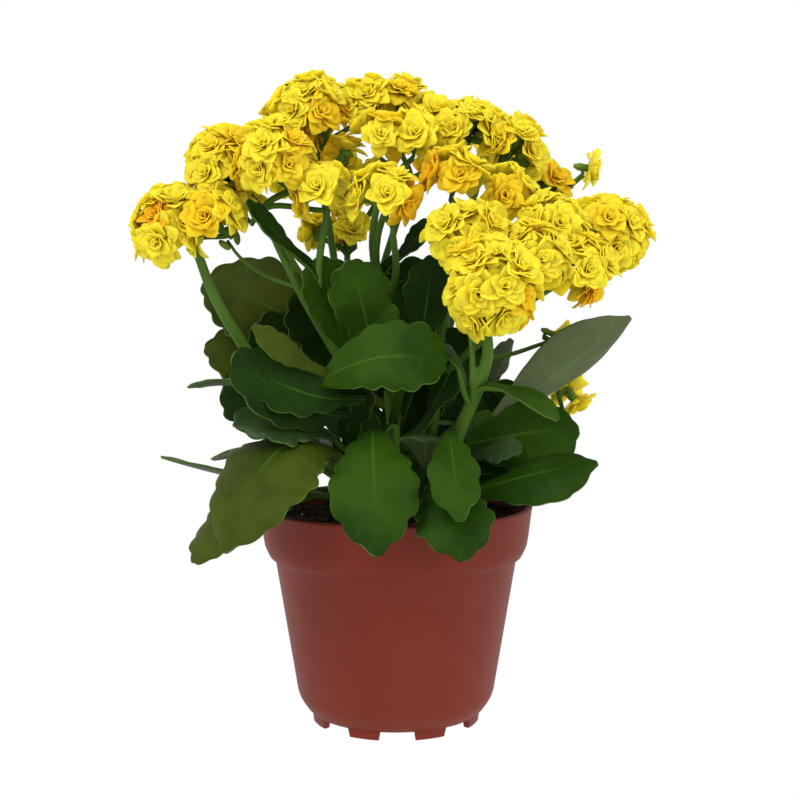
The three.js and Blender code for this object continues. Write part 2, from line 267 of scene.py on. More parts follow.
def leafTop(name, look):
    finish = Finish(name + "_top", Specular_IOR_Level=look.get("shine", 0.06))
    place = finish.place()
    v, midrib, vein = leafVeins(finish, (0.015, 0.06), (0.45, 0.9), (0.02, 0.09), (0.55, 0.8))
    cloud = finish.noise(place, 35, 4)
    mottle = finish.noise(place, 260, 3)
    base = finish.blend(finish.rise(cloud, 0.35, 0.68), look["dark"], look["light"])
    base = finish.blend(finish.rise(mottle, 0.45, 0.7) * 0.3, base, look["light"])
    base = finish.blend(midrib * 0.55 + vein * 0.06, base, veinColour)
    margin = finish.rise(v, 0.95, 1)
    base = finish.blend(margin * 0.35, base, rimColour)
    rough = 0.42 + cloud * 0.2
    height = mottle * 0.3 - midrib * 0.7 - vein * 0.12 + finish.noise(place, 1400, 2) * 0.12
    return finish.surface(base, rough, height, 0.35 * mm, 0.5)


def leafUnder(name, look):
    finish = Finish(name + "_under", Specular_IOR_Level=0.08)
    place = finish.place()
    v, midrib, vein = leafVeins(finish, (0.02, 0.1), (0.6, 1), (0.02, 0.12), (0.55, 0.85))
    cloud = finish.noise(place, 40, 4)
    base = finish.blend(finish.rise(cloud, 0.3, 0.7), [c * 0.72 for c in look["under"]], look["under"])
    base = finish.blend(midrib * 0.5 + vein * 0.2, base, underVein)
    height = midrib * 1.2 + vein * 0.4 + finish.noise(place, 900, 2) * 0.25
    return finish.surface(base, 0.5 + cloud * 0.15, height, 0.35 * mm, 0.5)


def leafRim():
    finish = Finish("leaf_rim", Specular_IOR_Level=0.15)
    cloud = finish.noise(finish.place(), 120, 3)
    return finish.surface(finish.blend(cloud, rimColour, rimDark), 0.42 + cloud * 0.2)


leafFinishes = {}
rimFinish = leafRim()
for lookName, look in leafLooks.items():
    name = "leaf_" + lookName
    leafFinishes[lookName] = (leafTop(name, look), leafUnder(name, look), rimFinish)


def stemFinish():
    finish = Finish("stem_green", Specular_IOR_Level=0.2)
    place = finish.place()
    streak = finish.noise(place, 300, 3, 0.6, (1, 1, 0.12))
    cloud = finish.noise(place, 30, 3)
    base = finish.blend(finish.rise(cloud, 0.3, 0.7), (0.028, 0.085, 0.004), (0.06, 0.14, 0.009))
    base = finish.blend(streak * 0.3, base, (0.09, 0.17, 0.018))
    return finish.surface(base, 0.42 + streak * 0.2, streak, 0.3 * mm, 0.35)


def calyxFinish():
    finish = Finish("calyx_green", Specular_IOR_Level=0.2)
    cloud = finish.noise(finish.place(), 150, 3)
    base = finish.blend(finish.rise(cloud, 0.3, 0.7), (0.05, 0.13, 0.008), (0.17, 0.25, 0.015))
    return finish.surface(base, 0.45 + cloud * 0.2, cloud, 0.2 * mm, 0.3)


petalLook = {"lemon": (0.86, 0.7, 0.03), "golden": (0.86, 0.54, 0.01), "orange": (0.84, 0.4, 0.006),
             "throat": (0.8, 0.5, 0.008)}


def petalFinish():
    finish = Finish("petal_yellow", Specular_IOR_Level=0.12, Subsurface_Weight=0.35, Subsurface_Scale=0.003,
                    Subsurface_Radius=(1, 0.8, 0.25))
    place = finish.place()
    s, across = finish.along()
    tint = finish.node("Attribute", {"attribute_name": "tint"}, None, "Fac")
    cloud = finish.noise(place, 120, 3)
    base = finish.blend(finish.rise(tint, 0.1, 0.75), petalLook["lemon"], petalLook["golden"])
    base = finish.blend(finish.rise(tint, 0.8, 1), base, petalLook["orange"])
    base = finish.blend(finish.rise(cloud, 0.5, 0.75) * 0.25, base, petalLook["golden"])
    base = finish.blend((1 - finish.rise(s, 0.0, 0.4)) * 0.5, base, petalLook["throat"])
    ribs = finish.noise(place, 1100, 2)
    return finish.surface(base, 0.55 + cloud * 0.15, ribs, 0.15 * mm, 0.3)


stemGreen = stemFinish()
calyxGreen = calyxFinish()
petalYellow = petalFinish()
print("plant finishes made")

# ---- stems: round tapering stalks that fork, grown together where they meet.
# Each stalk is its radius and then its points, in millimetres.
stems = {
    "stem_far_left": [
        (2.9, (-14, -4, 88), (-16, -4, 97), (-34, -4, 120), (-52, -10, 146), (-64, -22, 166)),
        (2.5, (-63, -21, 164), (-75, -28, 186), (-82, -30, 205)),
    ],
    "stem_left": [
        (3.2, (-8, -14, 88), (-14, -14, 128), (-26, -14, 166)),
        (2.0, (-25, -14, 161), (-40, -20, 188), (-54, -27, 219)),
        (1.9, (-25, -14, 161), (-32, -24, 194), (-28, -30, 223)),
        (1.9, (-20, -14, 148), (-26, -4, 198), (-34, 0, 245)),
    ],
    "stem_centre": [
        (3.2, (2, 2, 88), (-2, 0, 138), (-6, -4, 188)),
        (1.9, (-6, -4, 183), (-10, 0, 212), (-2, 12, 247)),
        (1.8, (-6, -4, 183), (-8, -10, 210), (1, -12, 235)),
        (1.8, (-5, -3, 179), (0, -20, 196), (-1, -34, 212)),
    ],
    "stem_right": [
        (3.4, (14, -14, 88), (15, -16, 97), (20, -26, 109), (25, -34, 127), (34, -45, 151)),
        (2.7, (33, -44, 149), (37, -50, 164), (36, -52, 176)),
        (1.5, (31, -42, 144), (31, -48, 164), (28, -44, 195)),
    ],
    "stem_back_right": [
        (3.3, (12, 14, 88), (17, 11, 138), (22, 6, 184)),
        (2.1, (21, 7, 179), (28, 4, 210), (35, 3, 233)),
        (1.7, (22, 6, 181), (24, -14, 204), (25, -28, 219)),
        (2.1, (18, 10, 148), (42, -8, 172), (60, -27, 189)),
        (2.1, (18, 10, 148), (50, 4, 178), (78, -7, 197)),
        (1.3, (30, 7, 157), (50, 12, 160), (66, 15, 165)),
        (2.0, (19, 11, 153), (44, 30, 196), (61, 33, 217)),
        (1.8, (20, 11, 150), (52, 28, 178), (78, 38, 199)),
        (1.8, (17, 12, 140), (30, 40, 190), (46, 58, 230)),
        (1.4, (14, 13, 110), (48, 32, 114), (74, 33, 127)),
    ],
    "stem_back_left": [
        (3.3, (-10, 14, 88), (-16, 22, 138), (-22, 34, 178)),
        (1.6, (-21, 32, 173), (-24, 28, 188), (-22, 25, 201)),
        (1.9, (-19, 28, 160), (-42, 42, 192), (-62, 50, 223)),
        (2.0, (-17, 24, 146), (-8, 48, 192), (6, 64, 237)),
    ],
}
stalkTaper = 0.82  # of the radius, from a stalk's foot to its end
stemRemesh = 0.65


def stalks(paths, sides=3):
    bpy.ops.curve.primitive_bezier_curve_add()
    curve = bpy.context.object
    curve.data.splines.clear()
    curve.data.bevel_depth = mm
    curve.data.bevel_resolution = sides
    curve.data.use_fill_caps = True
    curve.data.resolution_u = 8
    for firstRadius, lastRadius, points in paths:
        spline = curve.data.splines.new("BEZIER")
        spline.bezier_points.add(len(points) - 1)
        for i, (knot, point) in enumerate(zip(spline.bezier_points, points)):
            knot.co = Vector(point) * mm
            knot.handle_left_type = "AUTO"
            knot.handle_right_type = "AUTO"
            knot.radius = firstRadius + (lastRadius - firstRadius) * i / (len(points) - 1)
    only(curve)
    bpy.ops.object.convert(target="MESH")
    return merged(bpy.context.object, 0.01 * mm)


def stemBody(name, tubes):
    body = stalks([(r * 1.05, r * stalkTaper, points) for r, *points in tubes])
    applied(body, "REMESH", mode="VOXEL", voxel_size=stemRemesh * mm, use_smooth_shade=True)
    applied(body, "SMOOTH", factor=0.5, iterations=5)
    return dressed(named(body, name), stemGreen)


stemBodies = {name: stemBody(name, tubes) for name, tubes in stems.items()}
print("stems made")

# where a leaf can grow from: places along the stalks, each with its stalk's radius
placesPerSpan = 6
nodesOnStems = []
for tubes in stems.values():
    for radius, *points in tubes:
        for first, second in zip(points, points[1:]):
            for i in range(placesPerSpan):
                nodesOnStems.append((Vector(first).lerp(Vector(second), i / placesPerSpan), radius))


# ---- leaves: a centreline from base to tip, the way the upper side faces, and a width
# a leaf with no look of its own takes the dark look, whose darker green is painted shade
leafMake = {"widest": 1.65, "point": 0.62, "lobe": 12.5, "lobeDepth": 2.3, "rowsPerLobe": 6,
            "columns": 12, "petioleRows": 7, "baseRows": 7, "firstLobe": 0.34, "petioleHalf": 2.1,
            "tipHalf": 1.3, "thickness": 2.7, "blade": 0.5, "margin": 0.32, "groove": 0.5, "ripple": 1.1,
            "cup": 0.1, "look": "dark", "lobePeak": 0.64, "lobeDraw": (0.6, 1.25), "fullLobes": 30,
            "setBack": 14, "stoutPull": 4}
leaves = {
    "leaf_front": {"line": ((-9, -28, 129), (-10, -67, 143), (-7, -82, 88)), "face": (0, -0.8, 0.6),
                   "width": 37, "cup": -0.15, "widest": 2.2, "point": 0.68, "look": "deep"},
    "leaf_front_small": {"line": ((22, -43, 131), (21, -66, 137), (25, -80, 101)), "face": (0, -0.8, 0.6),
                         "width": 22, "cup": -0.1, "widest": 2.2, "point": 0.68, "look": "deep"},
    "leaf_front_low": {"line": ((14, -27, 106), (20, -64, 121), (27, -77, 85)), "face": (0, -0.8, 0.6),
                       "width": 33, "cup": -0.15, "widest": 2.2, "point": 0.68, "look": "deep"},
    "leaf_right_low": {"line": ((26, -24, 101), (50, -54, 116), (82, -50, 120)),
                       "face": (0.1, -0.65, 0.75), "width": 29, "cup": -0.3, "point": 0.85,
                       "cut": 0.5, "look": "deep"},
    "leaf_right": {"line": ((26, -13, 121), (51, -24, 130), (78, -19, 130)), "face": (0.1, -0.8, 0.6),
                   "width": 41, "cup": -0.2, "cut": 0.6, "look": "deep"},
    "leaf_right_shiny": {"line": ((29, -20, 116), (42, -30, 128), (52, -35, 122)), "face": (0, -0.6, 0.8),
                         "width": 17, "cup": -0.2, "look": "grey"},
    "leaf_right_high": {"line": ((34, 6, 125), (66, 6, 149), (103, 4, 177)), "face": (-0.4, 0.8, 0.5),
                        "width": 31, "cup": 0.3, "point": 0.85, "cut": 0.15, "look": "pale"},
    "bract_right": {"line": ((38, -50, 151), (51, -63, 151), (64, -66, 139)), "face": (0.2, -0.5, 0.85),
                    "width": 13, "cup": 0.2, "cut": 0.3, "look": "bright"},
    "leaf_left_arching": {"line": ((-20, -23, 114), (-46, -54, 152), (-67, -76, 88)),
                          "face": (-0.3, -0.6, 0.7), "width": 48, "cup": -0.2, "look": "olive"},
    "leaf_left_low": {"line": ((-26, -16, 100), (-60, -46, 116), (-80, -66, 82)),
                      "face": (-0.4, -0.5, 0.75), "width": 34, "cup": -0.2, "look": "olive"},
    "leaf_left_thin": {"line": ((-28, 10, 99), (-66, -4, 105), (-99, -24, 119)), "face": (0, 0.05, 1),
                       "width": 26, "cut": 0.4, "look": "grey"},
    "leaf_left_flat": {"line": ((-24, -14, 138), (-54, -26, 155), (-85, -41, 150)), "face": (0, 0.25, 1),
                       "width": 24, "look": "grey"},
    "leaf_left_middle": {"line": ((-24, -26, 125), (-41, -42, 145), (-65, -52, 135)),
                         "face": (-0.2, -0.5, 0.8), "width": 36, "cup": -0.2, "look": "grey"},
    "leaf_centre_left": {"line": ((-24, -38, 138), (-44, -55, 140), (-63, -60, 166)),
                         "face": (0, -0.9, 0.4), "width": 27, "point": 0.42},
    "leaf_centre_right": {"line": ((-30, -46, 152), (-7, -62, 170), (20, -58, 160)),
                          "face": (0, -0.85, 0.5), "width": 33, "point": 0.36, "look": "bright"},
    "leaf_top_middle": {"line": ((-9, -18, 160), (-14, -31, 183), (-18, -29, 202)),
                        "face": (0, -0.9, 0.4), "width": 27, "point": 0.45, "look": "bright"},
    "leaf_back_left_high": {"line": ((-22, 12, 150), (-50, 27, 186), (-89, 33, 190)),
                            "face": (-0.2, -0.75, 0.65), "width": 46, "look": "olive"},
    "leaf_back_left": {"line": ((-22, 8, 138), (-55, 20, 162), (-87, 26, 162)),
                       "face": (-0.2, -0.75, 0.65), "width": 36, "look": "olive"},
    "bract_left": {"line": ((-38, -27, 202), (-50, -38, 212), (-60, -42, 226)), "face": (0.4, -0.7, 0.5),
                   "width": 11, "cup": 0.2},
    "bract_centre": {"line": ((-1, -6, 202), (8, -8, 208), (16, -12, 220)), "face": (-0.4, -0.7, 0.5),
                     "width": 12, "cup": 0.2},
    "leaf_top_right": {"line": ((8, -6, 158), (14, -22, 182), (15, -24, 204)), "face": (0, -0.95, 0.3),
                       "width": 22},
    "leaf_inner": {"line": ((-2, -16, 104), (-14, -23, 124), (-20, -21, 146)), "face": (0.2, -0.9, 0.3),
                   "width": 18},
    "leaf_front_folded": {"line": ((12, -19, 112), (12, -46, 137), (11, -48, 128)),
                          "face": (0, -0.6, 0.8), "width": 20, "cup": -0.2, "look": "grey"},
    "leaf_right_behind": {"line": ((38, 20, 136), (45, 26, 150), (53, 28, 166)), "face": (-0.2, 0.5, 0.8),
                          "width": 22, "cup": 0.2, "look": "grey"},
    "bract_right_inner": {"line": ((27, -46, 154), (24, -48, 172), (6, -46, 164)),
                          "face": (0.2, -0.4, 0.9), "width": 16, "cup": -0.1, "look": "bright"},
    "leaf_rear_left_low": {"line": ((-16, 24, 106), (-44, 56, 134), (-58, 74, 94)),
                           "face": (-0.4, 0.6, 0.7), "width": 42, "cup": -0.2, "look": "deep"},
    "leaf_rear_low": {"line": ((2, 24, 108), (6, 62, 140), (8, 84, 96)), "face": (0, 0.7, 0.7),
                      "width": 44, "cup": -0.2, "look": "deep"},
    "leaf_rear_right_low": {"line": ((16, 24, 100), (42, 54, 128), (62, 72, 98)), "face": (0.5, 0.5, 0.7),
                            "width": 38, "cup": -0.2, "look": "deep"},
    "leaf_rear_high": {"line": ((-2, 20, 136), (0, 48, 170), (-6, 76, 164)), "face": (0, 0.3, 0.9),
                       "width": 38, "look": "bright"},
    "leaf_rear_right": {"line": ((22, 27, 124), (48, 47, 148), (70, 60, 140)), "face": (0.3, 0.4, 0.85),
                        "width": 36, "look": "deep"},
    "leaf_rear_left": {"line": ((-22, 24, 124), (-42, 50, 150), (-60, 64, 140)), "face": (-0.3, 0.5, 0.8),
                       "width": 36, "look": "deep"},
    "leaf_rear_folded": {"line": ((9, 24, 118), (20, 58, 146), (26, 80, 122)), "face": (0.1, 0.6, 0.8),
                         "width": 34, "cup": -0.1, "look": "bright"},
    "leaf_side_low": {"line": ((24, 6, 100), (58, 14, 114), (84, 20, 102)), "face": (0.2, 0, 1),
                      "width": 34, "cup": -0.1, "look": "deep"},
}


def halfWidth(s, plan):
    widest, point = (plan.get(key, leafMake[key]) for key in ("widest", "point"))
    blade = max(0, math.sin(math.pi * min(s, 1) ** widest)) ** point
    narrowest = leafMake["petioleHalf"] if s < 0.5 else leafMake["tipHalf"]
    return max(narrowest, 0.5 * plan["width"] * blade)


def bladeRows(length, plan):
    # the rows along a blade, laid so that each notch between two lobes falls on a row
    steps = 240
    reach = [0]
    for i in range(steps):
        grow = halfWidth((i + 1) / steps, plan) - halfWidth(i / steps, plan)
        reach.append(reach[-1] + math.hypot(length / steps, grow))
    start = reach[int(leafMake["firstLobe"] * steps)]
    lobeLength = min(leafMake["lobe"], 0.2 * length + 2)
    count = max(2, round((reach[-1] - start) / lobeLength))
    size = (reach[-1] - start) / (count + 0.5)
    rows = [(leafMake["firstLobe"] * i / leafMake["baseRows"], None) for i in range(leafMake["baseRows"])]
    perLobe = leafMake["rowsPerLobe"]
    for k in range(count * perLobe + perLobe // 2 + 1):
        target = start + k * size / perLobe
        i = min(steps - 1, max(j for j in range(steps) if reach[j] <= target + 1e-9))
        span = max(1e-9, reach[i + 1] - reach[i])
        rows.append(((i + min(1, (target - reach[i]) / span)) / steps, k))
    return rows, count


def notchDepth(k, count, draw):
    # how far the margin is cut in at a row: nothing at a lobe's top, most in a notch
    perLobe = leafMake["rowsPerLobe"]
    peak = 0.5 if k >= count * perLobe else leafMake["lobePeak"]
    t = (k % perLobe) / perLobe
    x = (peak - t) / peak if t < peak else (t - peak) / (1 - peak)
    return leafMake["lobeDepth"] * x ** 2.2 * draw


def leafBlade(name, plan):
    draw = random.Random(name)
    spine = base, bend, tip = [Vector(p) for p in plan["line"]]
    face = Vector(plan["face"]).normalized()
    heading = (bend - base).normalized()
    behind = base - heading * leafMake["setBack"]
    pull = leafMake["stoutPull"]
    root = min(nodesOnStems, key=lambda node: (node[0] - behind).length - node[1] * pull)[0]
    stalk = root, base - heading * 0.5 * (base - root).length, base
    spots = [bezier(*spine, i / 20) for i in range(21)]
    length = sum((second - first).length for first, second in zip(spots, spots[1:]))
    rows, count = bladeRows(length, plan)
    petioleRows = leafMake["petioleRows"]
    across = face.cross((tip - base).normalized()).normalized()
    lobeDraw = [[draw.uniform(*leafMake["lobeDraw"]) for _ in range(count + 1)] for _ in range(2)]
    phase = draw.uniform(0, 6)
    depthShare = min(1, plan["width"] / leafMake["fullLobes"]) * plan.get("cut", 1)
    cup = plan.get("cup", leafMake["cup"])

    columns = leafMake["columns"]
    total = petioleRows + len(rows)
    bpy.ops.mesh.primitive_grid_add(x_subdivisions=total - 1, y_subdivisions=columns, size=2)
    blade = named(bpy.context.object, name)
    thick = blade.vertex_groups.new(name="thick")
    marks = []
    for vertex in blade.data.vertices:
        row = round((vertex.co.x + 1) / 2 * (total - 1))
        v = vertex.co.y
        if row < petioleRows:
            t = row / petioleRows
            line, at, step = stalk, t, 0.01
            s, half, k = -0.2 * (1 - t), leafMake["petioleHalf"], None
        else:
            s, k = rows[row - petioleRows]
            line, at, step = spine, s, 0.005
            half = halfWidth(s, plan)
        centre = bezier(*line, at)
        tangent = (bezier(*line, at + step) - bezier(*line, at - step)).normalized()
        side = (across - tangent * across.dot(tangent)).normalized()
        normal = tangent.cross(side)
        grown = fade(0, 0.3, s)
        lift = cup * half * v * v * grown
        spot = centre + side * (v * half)
        if k is not None:
            slope = (halfWidth(min(1, s + 0.01), plan) - halfWidth(s - 0.01, plan)) / (0.02 * length)
            scale = math.hypot(1, slope)
            lobe = min(count, k // leafMake["rowsPerLobe"])
            cut = notchDepth(k, count, lobeDraw[v > 0][lobe]) * depthShare * abs(v) ** 3
            spot += tangent * (slope / scale * cut) - side * (math.copysign(1, v) * cut / scale)
            wave = math.sin(2.6 * k / leafMake["rowsPerLobe"] + phase + (2 if v > 0 else 0))
            lift += leafMake["ripple"] * depthShare * wave * abs(v) ** 3 * fade(0.3, 0.6, s)
        if abs(v) < 0.01:
            lift -= leafMake["groove"] * grown * (1 - s)
        vertex.co = (spot + normal * lift) * mm
        fleshy = leafMake["blade"] + (leafMake["margin"] - leafMake["blade"]) * v * v
        thick.add([vertex.index], 1 + (fleshy - 1) * grown, "REPLACE")
        marks.append((s, 0.5 + 0.5 * v))
    marked(blade, marks)
    dressed(blade, *leafFinishes[plan.get("look", leafMake["look"])])
    applied(blade, "SOLIDIFY", thickness=leafMake["thickness"] * mm, offset=0, vertex_group="thick",
            thickness_vertex_group=0.05, material_offset=1, material_offset_rim=2)
    applied(blade, "SUBSURF", levels=1, render_levels=1)
    blade.vertex_groups.clear()
    return smooth(blade, 80)


for name, plan in leaves.items():
    leaf = leafBlade(name, plan)
    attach(leaf, "root")
    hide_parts(name)

# young and inner leaves, which fill the plant between its stems; most take the dark look, a darker green
# that paints in the shade deep inside the plant
innerLeaves = {
    "front": [
        {"line": ((-22, -14, 164), (-27, -24, 185), (-32, -24, 203)), "face": (0.2, -0.9, 0.3), "width": 25,
         "point": 0.45, "cup": 0.15, "look": "bright"},
        {"line": ((-11, -22, 162), (-4, -27, 176), (-2, -26, 184)), "face": (0, -0.9, 0.4),
         "width": 12, "look": "bright"},
        {"line": ((-30, -48, 157), (-42, -60, 163), (-56, -62, 176)), "face": (0.1, -0.9, 0.4),
         "width": 12, "look": "olive"},
        {"line": ((-18, -44, 145), (-36, -54, 145), (-60, -56, 160)), "face": (0, -0.9, 0.4), "width": 25},
        {"line": ((0, 10, 118), (6, 16, 140), (15, 18, 163)), "face": (0, -0.9, 0.2), "width": 38},
        {"line": ((18, 8, 112), (30, 14, 128), (38, 16, 148)), "face": (0, -0.9, 0.3), "width": 36},
        {"line": ((20, -7, 114), (34, -14, 108), (54, -12, 110)), "face": (0, -0.8, 0.6), "width": 26},
        {"line": ((-6, -12, 124), (0, -26, 114), (4, -28, 100)), "face": (0, -0.9, 0.4), "width": 26,
         "cup": -0.1},
        {"line": ((16, -4, 122), (32, -12, 128), (46, -14, 126)), "face": (0, -0.8, 0.6),
         "width": 26, "look": "deep"},
        {"line": ((-20, 4, 140), (-29, 8, 171), (-42, 12, 191)), "face": (0.2, -0.9, 0.3), "width": 34},
        {"line": ((-11, 8, 144), (-5, 12, 171), (-2, 10, 196)), "face": (0, -0.9, 0.2), "width": 32},
        {"line": ((2, -8, 146), (10, -12, 172), (8, -14, 198)), "face": (0, -0.9, 0.3), "width": 24,
         "cup": 0.2, "look": "deep"},
        {"line": ((15, 4, 134), (26, 6, 156), (33, 2, 172)), "face": (-0.3, -0.9, 0.3), "width": 28},
        {"line": ((-29, 4, 130), (-47, 8, 156), (-57, 14, 179)), "face": (0.2, -0.9, 0.3), "width": 36},
        {"line": ((-21, -24, 122), (-18, -38, 142), (-17, -38, 156)), "face": (0, -0.9, 0.3), "width": 20,
         "cup": 0.2},
        {"line": ((19, 2, 116), (42, 10, 129), (68, 16, 137)), "face": (0.1, -0.9, 0.5),
         "width": 40, "look": "deep"},
        {"line": ((-42, 8, 122), (-60, 12, 140), (-76, 14, 151)), "face": (-0.2, -0.9, 0.4), "width": 32},
        {"line": ((0, 20, 166), (2, 24, 188), (16, 22, 201)), "face": (0, -0.9, 0.3), "width": 26},
    ],
    "back": [
        {"line": ((-24, 20, 130), (-46, 30, 158), (-66, 44, 168)), "face": (-0.4, 0.5, 0.7),
         "width": 36, "look": "deep"},
        {"line": ((4, 20, 140), (14, 34, 170), (22, 52, 184)), "face": (0, 0.7, 0.6),
         "width": 34, "look": "bright"},
        {"line": ((-10, 24, 140), (-16, 40, 172), (-26, 58, 186)), "face": (-0.2, 0.8, 0.5),
         "width": 32, "look": "deep"},
        {"line": ((26, 16, 120), (48, 26, 138), (70, 34, 134)), "face": (0.4, 0.3, 0.8), "width": 32,
         "cup": -0.1, "look": "bright"},
        {"line": ((-30, 8, 108), (-60, 22, 126), (-84, 34, 110)), "face": (-0.3, 0.2, 0.9), "width": 36,
         "cup": -0.1, "look": "deep"},
        {"line": ((0, 26, 110), (-8, 48, 128), (-20, 70, 120)), "face": (0, 0.6, 0.8), "width": 34,
         "cup": -0.1},
    ],
}
for side, plans in innerLeaves.items():
    blades = [leafBlade(f"inner_{side}_{i}", plan) for i, plan in enumerate(plans)]
    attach(joined(blades, "inner_leaves_" + side), "root")
print("leaves made")

# ---- florets: rings of pointed petals round a throat, in a few openings
petalShape = {"rows": 5, "columns": 2, "thickness": 0.3, "cup": 0.28,
              "widths": (0.3, 0.66, 0.95, 1.0, 0.76, 0.16)}
petalDraw = {"length": (0.86, 1.1), "lean": 13, "curl": 14, "roll": 26, "turn": 0.26}  # how petals differ
floretRings = [  # lean is from the axis, curl is outwards, and start and height are the petals' feet
    {"count": 6, "length": 9.6, "width": 7.2, "lean": 66, "curl": 30, "start": 1.0, "height": 0.0},
    {"count": 6, "length": 8.4, "width": 6.6, "lean": 50, "curl": 34, "start": 1.0, "height": 0.6},
    {"count": 5, "length": 6.8, "width": 5.8, "lean": 33, "curl": 36, "start": 0.9, "height": 1.0},
    {"count": 4, "length": 5.4, "width": 4.8, "lean": 16, "curl": 34, "start": 0.8, "height": 1.3},
    {"count": 3, "length": 4.2, "width": 3.8, "lean": 2, "curl": 26, "start": 0.5, "height": 1.5},
]
floretOpenings = [{"lean": 1.0, "curl": 1.0}, {"lean": 1.12, "curl": 1.1}, {"lean": 0.88, "curl": 0.95},
                  {"lean": 1.0, "curl": 1.25}, {"lean": 0.75, "curl": 0.9}]


def petal(ring, opening, draw):
    rows, columns = petalShape["rows"], petalShape["columns"]
    bpy.ops.mesh.primitive_grid_add(x_subdivisions=rows, y_subdivisions=columns, size=2)
    made = bpy.context.object
    length = ring["length"] * draw.uniform(*petalDraw["length"])
    lean = math.radians(ring["lean"] * opening["lean"] + either(draw, petalDraw["lean"]))
    curl = math.radians(ring["curl"] * opening["curl"] + either(draw, petalDraw["curl"]))
    out, up = [ring["start"]], [ring["height"]]
    for i in range(rows):
        angle = lean + curl * (i + 0.5) / rows
        out.append(out[-1] + length / rows * math.sin(angle))
        up.append(up[-1] + length / rows * math.cos(angle))
    marks = []
    roll = math.radians(either(draw, petalDraw["roll"]))
    for vertex in made.data.vertices:
        i = round((vertex.co.x + 1) / 2 * rows)
        v = vertex.co.y
        half = 0.5 * ring["width"] * petalShape["widths"][i]
        angle = lean + curl * i / rows
        lift = petalShape["cup"] * half * v * v + math.sin(roll) * half * v
        tilt = Vector((-math.cos(angle), 0, math.sin(angle)))
        vertex.co = (Vector((out[i], v * half, up[i])) + tilt * lift) * mm
        marks.append((i / rows, 0.5 + 0.5 * v))
    marked(made, marks)
    return applied(made, "SOLIDIFY", thickness=petalShape["thickness"] * mm, offset=0)


def floretModel(number, opening):
    draw = random.Random(100 + number)
    petals = []
    for ringNumber, ring in enumerate(floretRings):
        for i in range(ring["count"]):
            turn = 2 * math.pi * (i + 0.5 * (ringNumber % 2)) / ring["count"]
            turn += either(draw, petalDraw["turn"])
            made = petal(ring, opening, draw)
            made.data.transform(Matrix.Rotation(turn, 4, "Z"))
            petals.append(made)
    model = joined(petals, f"floret_model_{number}")
    only(model)
    bpy.ops.object.shade_smooth()
    model.data.attributes.new("tint", "FLOAT", "POINT")
    return dressed(model, petalYellow)


floretModels = [floretModel(i, opening) for i, opening in enumerate(floretOpenings)]


calyxPlan = {"foot": 0.75, "mouth": 1.9, "length": 7, "middle": -2.6, "swell": 0.55, "rib": 0.1}


def calyxModel():
    # the floret's tube in its green cup, a waisted cone with four ribs
    p = calyxPlan
    bpy.ops.mesh.primitive_cone_add(vertices=8, radius1=p["foot"] * mm, radius2=p["mouth"] * mm,
                                    depth=p["length"] * mm, location=(0, 0, p["middle"] * mm))
    cup = bpy.context.object
    only(cup)
    bpy.ops.object.transform_apply(location=True, rotation=True, scale=True)
    bpy.ops.object.mode_set(mode="EDIT")
    bpy.ops.mesh.select_all(action="DESELECT")
    bpy.ops.mesh.select_mode(type="EDGE")
    bpy.ops.object.mode_set(mode="OBJECT")
    for edge in cup.data.edges:
        first, second = (cup.data.vertices[i].co.z for i in edge.vertices)
        edge.select = abs(first - second) > mm
    bpy.ops.object.mode_set(mode="EDIT")
    bpy.ops.mesh.subdivide(number_cuts=2)
    bpy.ops.object.mode_set(mode="OBJECT")
    for vertex in cup.data.vertices:
        level = (vertex.co.z / mm - p["middle"]) / p["length"] + 0.5
        ribs = p["rib"] * math.cos(4 * math.atan2(vertex.co.y, vertex.co.x))
        belly = p["swell"] * math.sin(math.pi * min(1, level * 1.6)) * (level < 0.62)  # lower part only
        vertex.co.x *= 1 + belly + ribs
        vertex.co.y *= 1 + belly + ribs
    only(cup)
    bpy.ops.object.shade_smooth()
    return dressed(named(cup, "calyx_model"), calyxGreen)


calyx = calyxModel()
print("floret models made")

